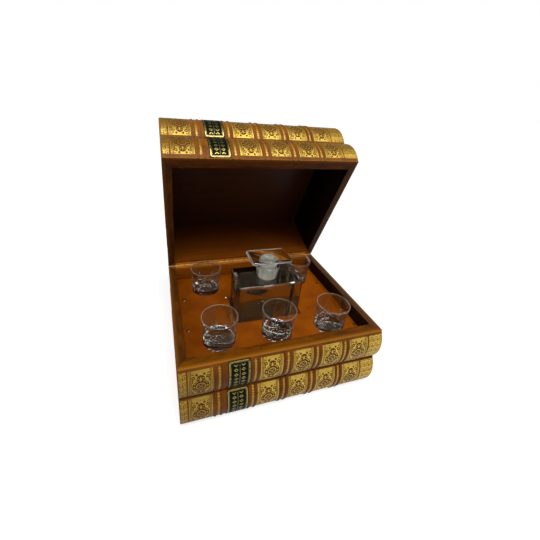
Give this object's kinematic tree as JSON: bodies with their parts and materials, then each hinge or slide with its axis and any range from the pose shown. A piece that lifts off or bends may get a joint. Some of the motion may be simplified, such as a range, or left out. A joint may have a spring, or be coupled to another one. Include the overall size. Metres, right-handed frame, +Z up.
{
  "type": "tantalus",
  "caption": "Book-form wooden tantalus: a hinged case shaped like stacked leather-bound gilt books, with a recessed tray holding a square glass decanter and shot glasses.",
  "frame": {"origin": "middle of the case's underside, where it rests on a table", "axes": "+X along the spines to the right, -Y towards the spines at the front, +Y to the hinged back, +Z up"},
  "size_m": [0.28, 0.3193, 0.3436],
  "materials": {
    "stained_wood": "brown-stained and waxed",
    "dark_wood": "dark stained",
    "tray_leather": "smooth tan leathercloth",
    "spine_wood": "raw moulding under the leather",
    "gilt_leather": "brown leather with gold tooling",
    "label_leather": "black-green leather with a gold frame",
    "cover_leather": "brown leather",
    "felt": "dark felt",
    "brass": "aged",
    "nickel": "polished nickel",
    "clear_glass": "polished, with a ground stopper joint"
  },
  "bodies": {
    "base": {"base_front_wall": "stained_wood", "base_back_wall": "stained_wood", "base_left_wall": "stained_wood", "base_right_wall": "stained_wood", "bottom_board": "dark_wood", "bottom_leather": "cover_leather", "base_lower_spine_core": "spine_wood", "base_lower_spine_leather": "gilt_leather", "base_lower_label": "label_leather", "base_upper_spine_core": "spine_wood", "base_upper_spine_leather": "gilt_leather", "base_upper_label": "label_leather", "tray_panel": "tray_leather", "tray_screws": "brass", "glass_shelf": "dark_wood", "tray_left_cleat": "dark_wood", "tray_right_cleat": "dark_wood", "shelf_left_batten": "dark_wood", "shelf_right_batten": "dark_wood", "well_front_board": "dark_wood", "well_back_board": "dark_wood", "well_left_board": "dark_wood", "well_right_board": "dark_wood", "well_pad": "felt", "well_corner_pin": "nickel", "base_hinge_screws": "brass", "left_hinge_base_leaf": "brass", "right_hinge_base_leaf": "brass", "left_hinge_pin": "brass", "right_hinge_pin": "brass"},
    "lid": {"lid_front_wall": "stained_wood", "lid_back_wall": "stained_wood", "lid_left_wall": "stained_wood", "lid_right_wall": "stained_wood", "lid_top_board": "dark_wood", "lid_top_leather": "cover_leather", "lid_inner_spine_core": "spine_wood", "lid_inner_spine_leather": "gilt_leather", "lid_inner_label": "label_leather", "lid_outer_spine_core": "spine_wood", "lid_outer_spine_leather": "gilt_leather", "lid_outer_label": "label_leather", "lid_hinge_screws": "brass", "left_hinge_lid_leaf": "brass", "right_hinge_lid_leaf": "brass"},
    "decanter": {"decanter_bottle": "clear_glass"},
    "stopper": {"decanter_stopper": "clear_glass"},
    "front_left_glass": {"front_left_glass": "clear_glass"},
    "front_middle_glass": {"front_middle_glass": "clear_glass"},
    "front_right_glass": {"front_right_glass": "clear_glass"},
    "back_left_glass": {"back_left_glass": "clear_glass"},
    "back_right_glass": {"back_right_glass": "clear_glass"}
  },
  "joints": [
    {"name": "lid_hinge", "type": "hinge", "parent": "base", "child": "lid", "pos_m": [0, 0.1105, 0.10015], "axis": [-1, 0, 0], "range_deg": [-67.5, 27.5]},
    {"name": "decanter_lift", "type": "slide", "parent": "base", "child": "decanter", "axis": [0, 0, 1], "range_m": [0, 0.085]},
    {"name": "stopper_lift", "type": "slide", "parent": "decanter", "child": "stopper", "axis": [0, 0, 1], "range_m": [0, 0.04]},
    {"name": "front_left_glass_lift", "type": "slide", "parent": "base", "child": "front_left_glass", "axis": [0, 0, 1], "range_m": [0, 0.06]},
    {"name": "front_middle_glass_lift", "type": "slide", "parent": "base", "child": "front_middle_glass", "axis": [0, 0, 1], "range_m": [0, 0.06]},
    {"name": "front_right_glass_lift", "type": "slide", "parent": "base", "child": "front_right_glass", "axis": [0, 0, 1], "range_m": [0, 0.06]},
    {"name": "back_left_glass_lift", "type": "slide", "parent": "base", "child": "back_left_glass", "axis": [0, 0, 1], "range_m": [0, 0.06]},
    {"name": "back_right_glass_lift", "type": "slide", "parent": "base", "child": "back_right_glass", "axis": [0, 0, 1], "range_m": [0, 0.06]}
  ]
}
